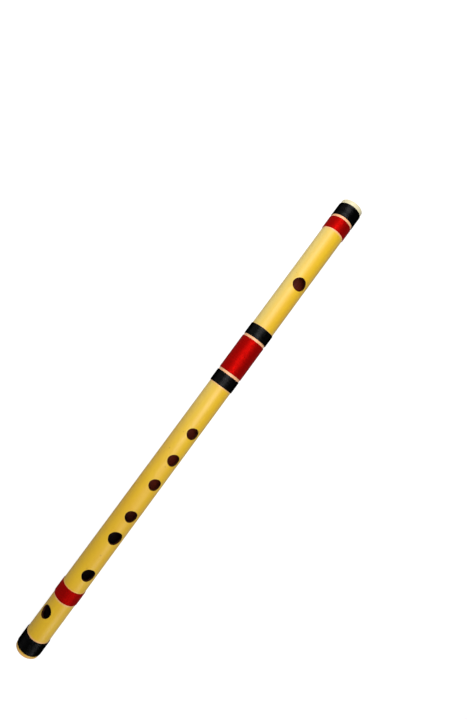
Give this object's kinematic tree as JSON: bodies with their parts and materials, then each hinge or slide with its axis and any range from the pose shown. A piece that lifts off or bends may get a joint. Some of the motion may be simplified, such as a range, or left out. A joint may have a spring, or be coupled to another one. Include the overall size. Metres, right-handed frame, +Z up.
{
  "type": "bansuri",
  "caption": "Side-blown bamboo flute with finger holes, a vent hole, black and red thread bindings and a cork stopper in the bore.",
  "frame": {"origin": "middle of the flute's length, on the surface that it lies on, under its axis", "axes": "+X along the flute from the foot to the blow end, +Z up through the finger holes, +Y to the side that the vent hole is turned to"},
  "size_m": [0.4826, 0.023, 0.0231],
  "materials": {
    "golden_bamboo": "satin varnish over straight bamboo fibres",
    "stopper_cork": "bare cork",
    "black_thread": "fine black thread under lacquer",
    "red_thread": "fine red thread under lacquer"
  },
  "bodies": {
    "flute": {"bamboo_tube": "golden_bamboo", "foot_black_binding": "black_thread", "foot_red_binding": "red_thread", "middle_lower_black_binding": "black_thread", "middle_red_binding": "red_thread", "middle_upper_black_binding": "black_thread", "head_red_binding": "red_thread", "head_black_binding": "black_thread"},
    "stopper": {"tuning_stopper": "stopper_cork"}
  },
  "joints": [
    {"name": "stopper_slide", "type": "slide", "parent": "flute", "child": "stopper", "axis": [1, 0, 0], "range_m": [-0.004, 0.006]}
  ]
}
